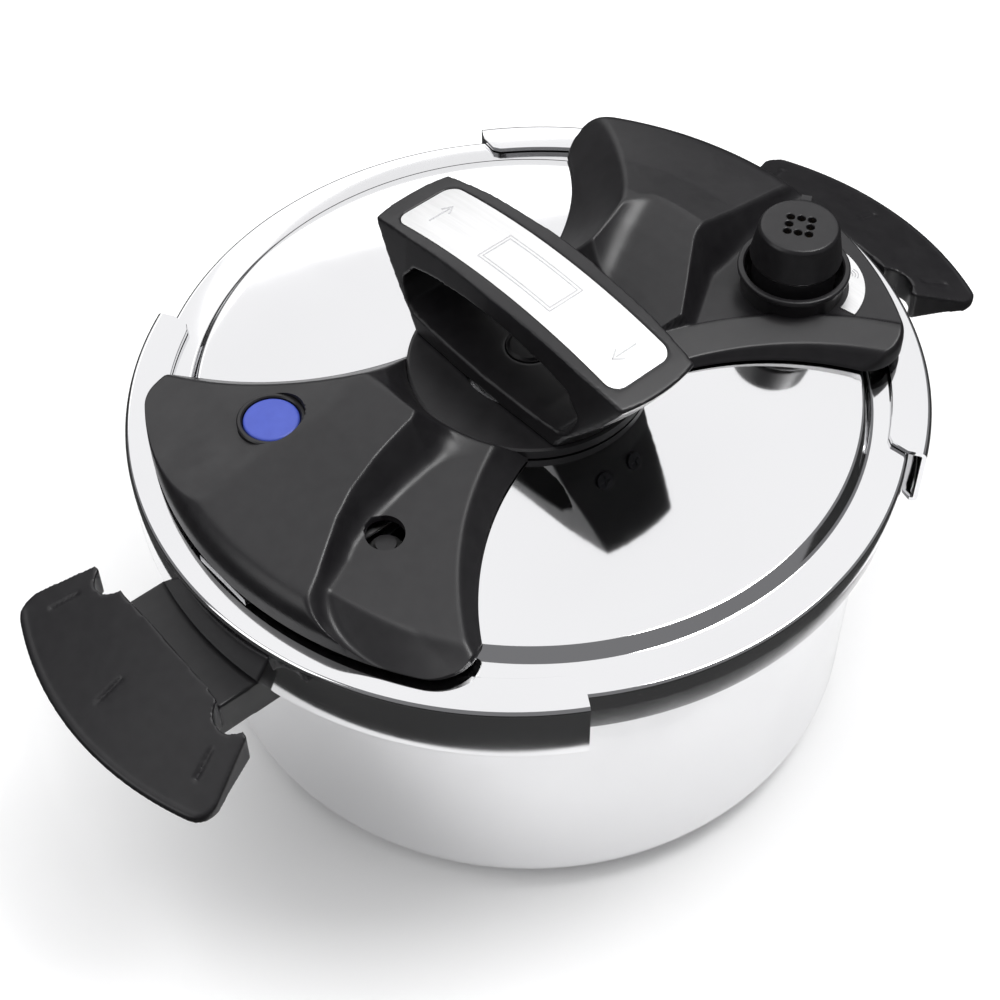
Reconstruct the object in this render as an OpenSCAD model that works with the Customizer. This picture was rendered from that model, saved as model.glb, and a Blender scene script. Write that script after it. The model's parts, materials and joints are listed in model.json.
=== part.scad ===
// Clamp-jaw pressure canner: stainless pot, domed lid, two sliding jaws drawn in by a turning bridge handle.
// Millimetres. Origin at the centre of the base underside, +Z up, +X towards the pressure-valve side.

/* [Pot] */
// Inside diameter of the pot
pot_inside_d = 240; // [240]
// Height of the lid ring above the table
ring_z = 135; // [110:1:200]
// Thickness of the pot sheet
pot_wall = 1.2; // [0.8:0.1:1.2]
// Corner radius between the pot wall and its floor
pot_corner = 14; // [8:1:20]
// Thickness of the heat-spreading base
base_h = 4; // [3:0.5:6]
// Radius of the heat-spreading core
core_r = 104; // [95:1:106]

/* [Lid] */
// Outside radius of the lid ring
lid_r = 131; // [131]
// Thickness of the lid sheet
lid_wall = 1.2; // [0.8:0.1:1.2]
// Height of the dome's centre above the ring
dome_h = 9; // [9]
// Height of the dome's edge above the ring
shoulder_h = 4.5; // [4:0.1:4.5]

/* [Jaws] */
// Outside radius of a jaw
jaw_r = 133.2; // [133.2]
// Half of the angle that a jaw spans
jaw_half_angle = 58.5; // [40:0.5:60]
// Travel of each jaw between open and closed
jaw_travel = 7; // [7]
// Thickness of the jaw sheet
jaw_sheet = 1.5; // [1.2:0.1:1.6]

/* [Bridge handle] */
// Half length of the bridge handle at its top
grip_half_l = 62; // [60:0.5:62]
// Half width of the bridge handle in the middle
grip_half_w = 18.3; // [17:0.1:19]
// Height of the crown of the handle above the lid ring
crown_h = 54.3; // [54.3]
// Angle that the handle turns from open to closed
turn_angle = 90; // [90]

/* [Valves and button] */
// Place of the pressure valve on the lid
valve_xy = [93, -34.4];
// Place of the pressure indicator on the lid
float_xy = [-86, -28];
// Place of the spring safety valve on the lid
safety_xy = [66, 31];
// Place of the release button
button_xy = [-87.4, 28.2];
// Radius of the release button
button_r = 9.4; // [8:0.1:9.4]
// Travel of the release button
button_travel = 3; // [2:0.5:3]

/* [Side handles] */
// Distance from the pot axis to the outer edge of a side handle
side_reach = 190.7; // [185:0.1:195]
// Radius of the outer edge of a side handle, in plan
side_arc_r = 125; // [120:1:130]
// Half of the angle that a side handle spans, in plan
side_half_angle = 27; // [24:0.5:28]
// Angle of the side handles from the jaws' line, as the lid happens to sit
side_turn = -1.6; // [-2:0.1:2]

/* [Hidden] */
$fn = 96;
e = 0.01;
far = 300;

pot_r = pot_inside_d / 2 + pot_wall;
rim_z = ring_z - 8.6;      // top of the pot's rolled rim
rim_r = pot_r + 8.3;
rim_drop = 10.4;           // height of the rim's turned-down edge

dome_flat_r = 26;          // flat spot that the spindle clamps on
dome_edge_r = 113.5;
ring_inner_r = 117.5;
dome_ball_r = (pow(dome_edge_r, 2) - pow(dome_flat_r, 2) + pow(dome_h - shoulder_h, 2))
    / (2 * (dome_h - shoulder_h));

// The mechanism is a stack on the dome, heights above the lid ring
plate_z = dome_h;          // carrier plate
plate_t = 1;
plate_half_w = 22;
plate_half_l = 101;
arm_z = plate_z + plate_t + 0.1;
arm_t = 1.5;
arm_half_w = 12;
cam_z = arm_z + arm_t + 0.3;
cam_t = 2;
cam_r = 22;
collar_r = 41.9;
grip_z = cam_z + 1.4;      // underside of the bridge handle
spindle_r = 5;

pin_r = 2.5;
pin_open_x = 18;           // follower pin's distance from the axis with the jaws open
slot_r = pin_r + 0.08;

cover_wall = 2.5;
cover_r = lid_r;
cover_z = 4;               // lower edge of the covers, above the jaws
waist_y = 140;             // the covers' hollow flanks are arcs round these points on the Y axis
waist_r = 108;
cover_corner = 15;         // radius of the covers' outer corners, in plan
above_covers = 60;         // a height above everything on the covers
corner_d = cover_r - cover_corner;
corner_y = (waist_y * waist_y + corner_d * corner_d - pow(waist_r + cover_corner, 2)) / (2 * waist_y);
corner_angle = asin(corner_y / corner_d);

// Radius of an arc that falls by drop at a distance l from its middle
function arc_radius(l, drop) = (l * l + drop * drop) / (2 * drop);

bridge_r = arc_radius(grip_half_l, 8);     // the handle's crown
barrel_r = arc_radius(grip_half_l, 3);     // the handle's bowed sides

side_axis_x = side_reach - side_arc_r;

// Points on an arc in a plane
function arc(cx, cy, r, a0, a1, n = 8) =
    [for (i = [0:n]) [cx + r * cos(a0 + (a1 - a0) * i / n), cy + r * sin(a0 + (a1 - a0) * i / n)]];

// Height of the lid's outer surface above its ring
function dome(r) = r <= dome_flat_r ? dome_h
    : dome_h - dome_ball_r + sqrt(pow(dome_ball_r, 2) - pow(r, 2) + pow(dome_flat_r, 2));

// Everything on the positive side of a plane through p with normal n
module beyond(p, n) {
    translate(p)
        rotate([0, acos(n[2] / norm(n)), atan2(n[1], n[0])])
        translate([-far / 2, -far / 2, 0])
        cube([far, far, far / 2]);
}

// A hexagonal nut or head standing on z = 0
module hexagon(flats, h) {
    cylinder(h = h, r = flats / 2 / cos(30), $fn = 6);
}

// A round wire wound into a helix, as one closed solid
module coil(r, wire, turns, h) {
    sides = 6;
    steps = 14 * turns;
    points = [for (i = [0:steps], k = [0:sides - 1])
        let (a = 360 * turns * i / steps, b = 360 * k / sides)
        [(r + wire * cos(b)) * cos(a), (r + wire * cos(b)) * sin(a),
            wire + (h - 2 * wire) * i / steps + wire * sin(b)]];
    walls = [for (i = [0:steps - 1], k = [0:sides - 1])
        let (a = i * sides + k, b = i * sides + (k + 1) % sides)
        [a, a + sides, b + sides, b]];
    ends = [[for (k = [0:sides - 1]) k], [for (k = [sides - 1:-1:0]) steps * sides + k]];
    polyhedron(points = points, faces = concat(walls, ends), convexity = 8);
}

// ---- Pot ----

module pot_body() {
    inner = pot_corner - pot_wall;
    wall_in = pot_r - pot_wall;
    profile = concat(
        [[0, base_h]],
        arc(pot_r - pot_corner, base_h + pot_corner, pot_corner, -90, 0, 10),
        [[pot_r, rim_z - 3.2]],
        arc(pot_r + 2, rim_z - 3.2, 2, 180, 90, 4),
        [[rim_r - pot_wall, rim_z - pot_wall], [rim_r - pot_wall, rim_z - rim_drop]],
        [[rim_r, rim_z - rim_drop], [rim_r, rim_z - 1]],
        arc(rim_r - 1, rim_z - 1, 1, 0, 90, 4),
        arc(pot_r + 2, rim_z - 3.2, 3.2, 90, 180, 5),
        arc(wall_in - inner, base_h + pot_corner, inner, 0, -90, 10),
        [[0, base_h + pot_wall]]);
    color("silver") rotate_extrude() polygon(profile);
}

module base_core() {
    color("gray") translate([0, 0, 0.8]) cylinder(h = base_h - 0.8, r = core_r);
}

module base_cap() {
    color("silver") difference() {
        rotate_extrude()
            polygon([[0, 0], [core_r + 0.4, 0], [core_r + 1.2, 0.8], [core_r + 1.2, base_h], [0, base_h]]);
        translate([0, 0, 0.8]) cylinder(h = base_h, r = core_r);
    }
}

// ---- Side handles ----

side_tip_z = ring_z - 30;     // outer edge of the plate
side_root_z = ring_z - 12.2;  // inner edge of the plate
side_root_r = side_arc_r - 45;
neck_top = ring_z - 23.4;     // stays below the jaws
neck_low = ring_z - 39;
neck_half_w = 27;
tab_z = ring_z - 31;
side_screw_x = 142;
side_inner_x = 152;

// Wedge-shaped grip: thick by the pot, thin at the outer edge, hollow underneath
module side_grip() {
    profile = concat(
        [[side_root_r, side_root_z], [side_arc_r - 2.5, side_tip_z + 0.6]],
        arc(side_arc_r - 2, side_tip_z - 1.4, 2, 80, -80, 6),
        [for (t = [0:0.2:1]) [side_arc_r - 4 - t * (side_arc_r - 4 - side_root_r),
            side_tip_z - 3.4 + 3.2 * sin(180 * t * 0.75) - 4.5 * t * t]]);
    translate([side_axis_x, 0, 0])
        rotate([0, 0, -side_half_angle])
        rotate_extrude(angle = 2 * side_half_angle)
        polygon(profile);
}

module side_handle() {
    groove_angles = [22.5, 0.8, -22];
    groove_r = 109;
    grip_slope = (side_root_z - side_tip_z - 0.6) / (side_arc_r - 2.5 - side_root_r);
    color([0.1, 0.1, 0.11]) difference() {
        union() {
            difference() {
                side_grip();
                translate([0, -far / 2, 0]) cube([side_inner_x, far, far]);
            }
            difference() {
                translate([pot_r - 6, -neck_half_w, neck_low])
                    cube([side_inner_x + 10 - pot_r, 2 * neck_half_w, neck_top - neck_low]);
                cylinder(h = far, r = pot_r + 0.3);
            }
        }
        // finger notch between the neck and each horn
        for (s = [-1, 1]) translate([side_inner_x - 2, s * (neck_half_w + 8), 0]) cylinder(h = far, r = 7);
        // rounded outer corners
        for (s = [-1, 1]) translate([side_axis_x, 0, 0]) rotate([0, 0, s * side_half_angle])
            mirror([0, s < 0 ? 1 : 0, 0]) translate([side_arc_r - 8.3, -8, 0]) difference() {
                cube([10, 10, far]);
                translate([0, 0, -1]) cylinder(h = far, r = 8);
            }
        // short grip grooves
        for (a = groove_angles)
            translate([side_axis_x, 0, 0]) rotate([0, 0, a])
                translate([groove_r, 0, side_root_z - (groove_r - side_root_r) * grip_slope])
                rotate([0, 90 + atan(grip_slope), 0]) translate([0, 0, -6]) cylinder(h = 12, r = 0.8);
        // pocket for the steel bracket, and the hole for its screw
        translate([pot_r - 5, -9, tab_z - 0.05]) cube([33, 18, 5.2]);
        translate([pot_r - 5, -9, tab_z - 7.5]) cube([8, 18, 12.65]);
        translate([side_screw_x, 0, neck_low - 1]) cylinder(h = 12, r = 2.7);
        translate([side_screw_x, 0, neck_low - 1]) cylinder(h = 5, r = 4.6);
    }
}

// Places a child that is drawn on the +X side: 1 for the right side, -1 for the left
module at_side(s) {
    rotate([0, 0, side_turn]) mirror([s < 0 ? 1 : 0, 0, 0]) children();
}

module side_handle_left() { at_side(-1) side_handle(); }
module side_handle_right() { at_side(1) side_handle(); }

// Steel bracket welded to the pot wall, with a tab that the handle's screw goes into
module handle_bracket() {
    color("gainsboro") difference() {
        union() {
            translate([0, 0, tab_z - 7]) rotate([0, 0, -4]) rotate_extrude(angle = 8)
                translate([pot_r, 0]) square([2, 11.5]);
            translate([pot_r + 1, -8, tab_z]) cube([26, 16, 2]);
            translate([side_screw_x, 0, tab_z]) cylinder(h = 5, r = 4.5);
        }
        translate([side_screw_x, 0, tab_z - 1]) cylinder(h = 7, r = 2.5);
    }
}

module handle_bracket_left() { at_side(-1) handle_bracket(); }
module handle_bracket_right() { at_side(1) handle_bracket(); }

module side_handle_screws() {
    head_top = neck_low + 4;
    color("silver") for (s = [-1, 1]) at_side(s) translate([side_screw_x, 0, head_top]) {
        cylinder(h = 8.5, r = 2.5);
        difference() {
            translate([0, 0, -2.5]) cylinder(h = 2.5, r = 4.4);
            translate([-3, -0.5, -2.6]) cube([6, 1, 1.2]);
        }
    }
}

// ---- Lid ----

module lid_shell() {
    t = lid_wall;
    top = [for (r = [dome_flat_r:(dome_edge_r - dome_flat_r) / 10:dome_edge_r + e]) [r, dome(r)]];
    under = [for (i = [10:-1:0])
        let (r = dome_flat_r + (dome_edge_r - t - dome_flat_r) * i / 10) [r, dome(r) - t]];
    profile = concat(
        [[0, dome_h]], top,
        [[dome_edge_r + 1.4, shoulder_h - 0.5], [ring_inner_r - 0.6, 0.5], [ring_inner_r + 0.6, 0]],
        arc(lid_r - 1.5, -1.5, 1.5, 90, 0, 4),
        [[lid_r, -8.2], [lid_r - t, -8.2], [lid_r - t, -1.5 - 0.3]],
        [[lid_r - 1.8, -t], [ring_inner_r - 0.4, -t], [dome_edge_r + 0.2, shoulder_h - 1.4]],
        under,
        [[0, dome_h - t]]);
    color("silver") translate([0, 0, ring_z]) difference() {
        rotate_extrude() polygon(profile);
        translate([0, 0, -1]) cylinder(h = 20, r = spindle_r + 0.05);
        translate([valve_xy[0], valve_xy[1], -1]) cylinder(h = 20, r = 5.05);
        translate([float_xy[0], float_xy[1], -1]) cylinder(h = 20, r = 4.5);
        translate([safety_xy[0], safety_xy[1], -1]) cylinder(h = 20, r = 5.05);
    }
}

module lid_gasket() {
    color("whitesmoke") translate([0, 0, rim_z]) rotate_extrude()
        polygon([[119.4, 0], [129.3, 0], [129.3, 6.9], [127.4, 6.9], [127.4, 2.6],
            [121.6, 2.6], [121.6, 6.9], [119.4, 6.9]]);
}

screw_xs = [58, 74];
screw_y = 18;

module carrier_plate() {
    color("gainsboro") translate([0, 0, ring_z + plate_z]) linear_extrude(plate_t) difference() {
        union() {
            translate([-plate_half_l, -plate_half_w]) square([2 * plate_half_l, 2 * plate_half_w]);
            translate(button_xy) circle(r = 8);
        }
        circle(r = spindle_r + 0.05);
        for (x = screw_xs, sx = [-1, 1], sy = [-1, 1])
            translate([sx * x, sy * screw_y]) circle(r = 1.6);
        translate(valve_xy) circle(r = 20);
        translate(button_xy) circle(r = 3.4);
    }
}

// Fixed ring round the hub that roofs the jaw arms
module hub_collar() {
    color([0.1, 0.1, 0.11]) translate([0, 0, ring_z]) difference() {
        rotate_extrude() polygon([[cam_r + 1, cam_z], [collar_r - 2, cam_z], [collar_r - 2, plate_z + 0.2],
            [collar_r, plate_z + 0.2], [collar_r, cam_z + 0.6], [collar_r - 1, cam_z + 1.1],
            [cam_r + 1, cam_z + 1.1]]);
        translate([-far / 2, -plate_half_w - 0.1, 0])
            cube([far, 2 * plate_half_w + 0.2, plate_z + plate_t + 0.05]);
        translate([-far / 2, -arm_half_w - 0.4, 0]) cube([far, 2 * arm_half_w + 0.8, cam_z]);
    }
}

// The handle turns on this shouldered spindle, which is clamped through the lid
module spindle() {
    color("silver") translate([0, 0, ring_z]) {
        difference() {
            translate([0, 0, -3]) cylinder(h = grip_z + 7.8, r = spindle_r);
            translate([0, 0, grip_z + 3.4]) difference() {
                cylinder(h = 1.1, r = spindle_r + 1);
                cylinder(h = 1.1, r = spindle_r - 1);
            }
        }
    }
}

module spindle_nut() {
    color("silver") translate([0, 0, ring_z + dome_h - lid_wall]) difference() {
        union() {
            translate([0, 0, -2]) cylinder(h = 2, r = 14);
            translate([0, 0, -8]) hexagon(17, 6);
        }
        translate([0, 0, -9]) cylinder(h = 12, r = spindle_r);
    }
}

// ---- Covers ----

// Body of revolution: round outer edge, gentle cone, and a bowl cut clear of the turning handle
function cover_profile(i) = concat(
    [[42.2 + 1.25 * i, i > 0 ? 0 : cover_z], [cover_r - i, i > 0 ? 0 : cover_z]],
    arc(cover_r - 10, 9.5, 10 - i, 0, 76, 6),
    [[97, 24.4 - i], [77, 29 - i], [55.2 + 1.25 * i, 32.3 - i], [51.2 + 1.25 * i, 27],
    [45.7 + 1.25 * i, 20], [42.2 + 1.25 * i, grip_z]]);

// Flank on the +Y side: an upright foot and a 45 degree slope, both hollow arcs in plan
module flank(i) {
    translate([0, waist_y, -e]) cylinder(h = 5 + 2 * e, r = waist_r + i);
    translate([0, waist_y, 5]) cylinder(h = 40, r1 = waist_r + 1.41 * i, r2 = waist_r + 40 + 1.41 * i);
}

// The part that both covers share. A positive inset gives the hollow inside.
module cover_body(i, fold_point, fold_normal) {
    difference() {
        intersection() {
            rotate_extrude() polygon(cover_profile(i));
            translate([e, -far / 2, -1]) cube([far / 2, far, above_covers]);
        }
        flank(i);
        // rounded outer corners, in plan
        for (s = [0, 1])
            mirror([0, s, 0]) rotate([0, 0, corner_angle]) translate([corner_d, 0, -1]) difference() {
                translate([-5, 0, 0]) cube([3 * cover_corner, 3 * cover_corner, above_covers]);
                translate([0, 0, -1]) cylinder(h = above_covers + 2, r = cover_corner - 0.3 - i);
            }
        translate([0, 0, -i]) beyond(fold_point, fold_normal);
    }
}

// Left cover, drawn on the +X side
module button_cover_body(i) {
    difference() {
        cover_body(i, [97, 20, 23.5], [0.237, 0.22, 1]);
        mirror([0, 1, 0]) flank(i);
        translate([0, 0, -i]) intersection() {
            beyond([86, -28, 15.2], [0.05, -0.11, 1]);
            beyond([52, -10, 32.3], [0, -0.76, 0.65]);
            beyond([90, -15, 26.5], [-0.34, -0.75, 0.57]);
        }
    }
}

// Right cover
module valve_cover_body(i) {
    difference() {
        cover_body(i, [77, 28.5, 28.2], [0.2, 0.09, 1]);
        // front strip, sloping down to the flank
        translate([0, -waist_y, 0]) rotate_extrude()
            polygon([[0, -1], [waist_r + i, -1], [waist_r + i, 5 - i / 2], [113 + i, 12 - i], [125, 15 - i],
                [125, above_covers], [0, above_covers]]);
        // hollow beside the handle
        translate([0, 0, -i]) intersection() {
            rotate_extrude() polygon([[0, 14.5], [42, 14.5], [48, 17.5], [56, 21], [65, 24.5], [73, 27],
                [79.5, 28.6], [79.5, above_covers], [0, above_covers]]);
            beyond([60, 24, 30], [0.1, -0.8, 0.6]);
        }
        // well round the pressure valve
        translate([0, 0, -i]) difference() {
            intersection() {
                beyond([86, -28, 13.2], [0, 0, 1]);
                beyond([65, -11, 25], [0.47, -0.76, 0.45]);
                beyond([78, -2.4, 28.3], [0.124, -0.8, 0.5]);
            }
            translate([0, -waist_y, 0]) cylinder(h = above_covers, r = 124.5);
        }
    }
}

// Room for the lid under a cover, and for the plate and arms at its inner end
module cover_clearance() {
    rs = [for (i = [0:8]) dome_flat_r + i * 11.6];
    rotate_extrude()
        polygon(concat([[0, -1], [0, dome_h + 0.8]], [for (r = rs) [r, dome(r) + 0.8]], [[119.6, -1]]));
    translate([0, -plate_half_w - 0.2, 0]) cube([60, 2 * plate_half_w + 0.4, plate_z + plate_t + 0.05]);
    translate([0, -arm_half_w - 0.5, 0]) cube([121, 2 * arm_half_w + 1, cam_z]);
}

// Screw posts that stand on the carrier plate
module cover_posts() {
    for (x = screw_xs, s = [-1, 1])
        translate([x, s * screw_y, plate_z + plate_t]) cylinder(h = 30, r = 3.6);
}

module post_holes() {
    for (x = screw_xs, s = [-1, 1])
        translate([x, s * screw_y, plate_z]) cylinder(h = 3.3, r = 1.5);
}

button_top = 24.2;
button_seat_z = 23.6;      // level rim round the button, part boss and part pocket in the sloping facet
button_flange_z = plate_z + plate_t + button_travel + 2.4;

module button_cover() {
    bx = -button_xy[0];
    by = button_xy[1];
    color([0.1, 0.1, 0.11]) translate([0, 0, ring_z]) mirror([1, 0, 0]) difference() {
        union() {
            difference() {
                button_cover_body(0);
                button_cover_body(cover_wall);
            }
            intersection() {
                cover_posts();
                button_cover_body(1);
            }
            translate([bx, by, 12]) cylinder(h = button_seat_z - 12, r = button_r + 2);
        }
        cover_clearance();
        post_holes();
        translate([-float_xy[0], float_xy[1], 0]) cylinder(h = 40, r = 6.5);
        translate([bx, by, 0]) cylinder(h = above_covers, r = button_r + 0.3);
        translate([bx, by, 0]) cylinder(h = button_flange_z + 2, r = button_r + 2.2);
        translate([bx, by, button_seat_z]) cylinder(h = 20, r = button_r + 2);
    }
}

module valve_cover() {
    color([0.1, 0.1, 0.11]) translate([0, 0, ring_z]) difference() {
        union() {
            difference() {
                valve_cover_body(0);
                valve_cover_body(cover_wall);
            }
            intersection() {
                cover_posts();
                valve_cover_body(1);
            }
            translate([valve_xy[0], valve_xy[1], 7]) cylinder(h = 14.6, r = 19.2);
            translate([valve_xy[0], valve_xy[1], 21.4]) cylinder(h = 1.4, r = 19.7);
        }
        cover_clearance();
        post_holes();
        translate([valve_xy[0], valve_xy[1], 0]) cylinder(h = 40, r = 17.2);
    }
}

module cover_screws() {
    color("silver") translate([0, 0, ring_z + plate_z])
        for (x = screw_xs, sx = [-1, 1], sy = [-1, 1]) translate([sx * x, sy * screw_y, 0]) {
            translate([0, 0, -e]) cylinder(h = 3.2, r = 1.5);
            translate([0, 0, -0.9]) cylinder(h = 0.9, r = 2.6);
        }
}

// Metal sector by the valve that marks the steam-release position
module steam_label() {
    color("gainsboro") translate([valve_xy[0], valve_xy[1], ring_z + 13.2])
        rotate([0, 0, -79]) rotate_extrude(angle = 77)
        translate([20.1, 0]) square([5.6, 0.6]);
}

// ---- Valves ----

module vent_pipe() {
    z = dome(norm(valve_xy));
    color("gainsboro") translate([valve_xy[0], valve_xy[1], ring_z]) difference() {
        union() {
            translate([0, 0, z - 10]) cylinder(h = 12, r = 5);
            translate([0, 0, z + 0.6]) hexagon(14, 4.6);
            translate([0, 0, z + 5]) cylinder(h = 24 - z, r = 4);
            translate([0, 0, 29]) cylinder(h = 3, r1 = 4, r2 = 2.2);
        }
        translate([0, 0, -20]) cylinder(h = 60, r = 1.2);
    }
}

module vent_nut() {
    z = dome(norm(valve_xy)) - lid_wall - 3.9;
    color("silver") translate([valve_xy[0], valve_xy[1], ring_z + z]) difference() {
        hexagon(15, 3);
        translate([0, 0, -1]) cylinder(h = 5, r = 5);
    }
}

// Perforated cap that keeps food out of the vent
module vent_filter() {
    z = dome(norm(valve_xy)) - 14;
    color("silver") translate([valve_xy[0], valve_xy[1], ring_z + z]) difference() {
        cylinder(h = 8, r = 6.4);
        translate([0, 0, 1]) cylinder(h = 8, r = 5.05);
        for (a = [0:45:315])
            rotate([0, 0, a]) translate([0, 0, 2.4]) rotate([0, 90, 0]) cylinder(h = 8, r = 0.9);
    }
}

module float_seat() {
    z = dome(norm(float_xy));
    color("whitesmoke") translate([float_xy[0], float_xy[1], ring_z + z]) rotate_extrude()
        polygon([[2.5, -4], [6, -4], [6, -1.7], [4.45, -1.7], [4.45, 0.5], [6, 0.5], [5, 1.9], [2.5, 1.9]]);
}

module float_pin() {
    z = dome(norm(float_xy));
    color("firebrick") translate([float_xy[0], float_xy[1], ring_z + z]) {
        translate([0, 0, -9]) cylinder(h = 11, r = 2.2);
        translate([0, 0, -11]) cylinder(h = 2, r = 5);
        translate([0, 0, 1.95]) cylinder(h = 1.8, r = 3.4);
    }
}

module safety_valve() {
    z = dome(norm(safety_xy));
    color("goldenrod") translate([safety_xy[0], safety_xy[1], ring_z + z]) difference() {
        union() {
            translate([0, 0, -8]) cylinder(h = 10, r = 5);
            translate([0, 0, 0.5]) hexagon(13, 5);
            translate([0, 0, 5]) cylinder(h = 3, r = 5.4);
        }
        translate([0, 0, -9]) cylinder(h = 14, r = 1.6);
    }
}

module safety_nut() {
    z = dome(norm(safety_xy)) - lid_wall - 3.7;
    color("silver") translate([safety_xy[0], safety_xy[1], ring_z + z]) difference() {
        hexagon(14, 3);
        translate([0, 0, -1]) cylinder(h = 5, r = 5);
    }
}

// Brass weight that rests on the tip of the vent pipe
module regulator_weight() {
    color("goldenrod") translate([valve_xy[0], valve_xy[1], ring_z + 20])
        rotate_extrude() polygon([[4.3, 0], [9, 0], [9, 17], [0, 17], [0, 12.3], [2.2, 12.3], [4.3, 9.1]]);
}

knob_sleeve_z = 14;        // a sleeve hides the vent pipe
knob_skirt_z = 27;
knob_top_z = 41;

module regulator_knob() {
    pointer_angle = 34;
    pitch = 3.7;
    color([0.1, 0.1, 0.11]) translate([valve_xy[0], valve_xy[1], ring_z]) difference() {
        union() {
            rotate_extrude() polygon([[0, knob_skirt_z], [15.6, knob_skirt_z], [16, knob_skirt_z + 0.8],
                [14, knob_top_z - 1.2], [13.2, knob_top_z - 0.2], [12.4, knob_top_z], [0, knob_top_z]]);
            rotate([0, 0, pointer_angle]) translate([9, -2, knob_top_z - 5.4]) cube([7.6, 4, 5]);
            translate([0, 0, knob_sleeve_z]) cylinder(h = knob_skirt_z + 1 - knob_sleeve_z, r = 14.6);
        }
        translate([0, 0, knob_sleeve_z - 1]) cylinder(h = knob_skirt_z + 2 - knob_sleeve_z, r = 13.5);
        translate([0, 0, knob_skirt_z - 1]) cylinder(h = 7.2, r = 13.5);
        translate([0, 0, knob_skirt_z - 1]) cylinder(h = 11.3, r = 9.05);
        for (i = [-1:1], j = [-1:1])
            if (i != 0 || j != 0)
                rotate([0, 0, pointer_angle])
                    translate([i * pitch, j * pitch, knob_top_z - 5]) cylinder(h = 6, r = 1.4);
    }
}

// ---- Jaws ----

// C-section sheet that hooks over the lid ring and under the pot's rim
module jaw() {
    t = jaw_sheet;
    inside = jaw_r - t;
    lip_r = 119.5;     // inner edge of the upper flange
    low = -22.3;
    profile = [[lip_r, 0.4], [inside - 0.5, 0.4], [inside, -0.1], [inside, low + t + 0.5],
        [inside - 0.5, low + t], [127, low + t], [127, low], [jaw_r - 1, low], [jaw_r, low + 1],
        [jaw_r, 0.9], [jaw_r - 1, 1.9], [lip_r, 1.9]];
    color("silver") translate([jaw_travel, 0, ring_z]) difference() {
        rotate([0, 0, -jaw_half_angle]) rotate_extrude(angle = 2 * jaw_half_angle) polygon(profile);
        for (s = [-1, 1]) rotate([0, 0, s * jaw_half_angle]) translate([lip_r, -s * 0.1, 0])
            rotate([0, 0, s * 45]) translate([-5, -4, -1]) cube([10, 8, 4]);
    }
}

module jaw_right() { jaw(); }
module jaw_left() { mirror([1, 0, 0]) jaw(); }

// Steel strip from the cam to the jaw, cranked down to the jaw's top
module jaw_arm() {
    foot = 1.9;
    t = arm_t;
    color("gainsboro") translate([0, arm_half_w, ring_z]) rotate([90, 0, 0]) linear_extrude(2 * arm_half_w)
        polygon([[pin_open_x - 4.5, arm_z], [117.3, arm_z], [126, foot], [130.5, foot],
            [130.5, foot + t], [127, foot + t], [118.3, arm_z + t], [pin_open_x - 4.5, arm_z + t]]);
}

module jaw_arm_right() { jaw_arm(); }
module jaw_arm_left() { mirror([1, 0, 0]) jaw_arm(); }

module follower_pin() {
    color("silver") translate([pin_open_x, 0, ring_z + arm_z + arm_t])
        cylinder(h = cam_z + cam_t - 0.1 - arm_z - arm_t, r = pin_r);
}

module follower_pin_right() { follower_pin(); }
module follower_pin_left() { mirror([1, 0, 0]) follower_pin(); }

// ---- Bridge handle ----

// Height of the crown's upper surface at a distance y from the middle
function crown(y) = crown_h - bridge_r + sqrt(bridge_r * bridge_r - y * y);

// Two cones meeting: a lens in plan, wider at the foot
module lens(half_w, z0, z1, flare) {
    intersection_for (s = [-1, 1])
        translate([s * (barrel_r - half_w), 0, z0])
        cylinder(h = z1 - z0, r1 = barrel_r + flare, r2 = barrel_r);
}

// Round-cornered strip that follows the crown, between two depths below it
module plate_shape(half_w, half_l, upper, lower) {
    corner = 5;
    intersection() {
        translate([0, 0, 30]) linear_extrude(40) union() {
            square([2 * half_w, 2 * (half_l - corner)], center = true);
            square([2 * (half_w - corner), 2 * half_l], center = true);
            for (s = [-1, 1], t = [-1, 1])
                translate([s * (half_w - corner), t * (half_l - corner)]) circle(r = corner);
        }
        translate([-40, 0, crown_h - bridge_r]) rotate([0, 90, 0]) difference() {
            cylinder(h = 80, r = bridge_r - upper);
            translate([0, 0, -1]) cylinder(h = 82, r = bridge_r - lower);
        }
    }
}

// Places a screw pair square on the slanted face at each end of the handle
module at_handle_screws() {
    for (end = [0, 180], side = [-8.5, 8.5])
        rotate([0, 0, end + side]) translate([0, 47.1, 23.3]) rotate([52, 0, 0]) children();
}

plate_w = 12.8;    // half sizes of the metal plate on the crown
plate_l = 54;

module at_cam_screws() {
    for (a = [25, 65, 205, 245]) rotate([0, 0, a]) translate([17, 0, 0]) children();
}

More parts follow.
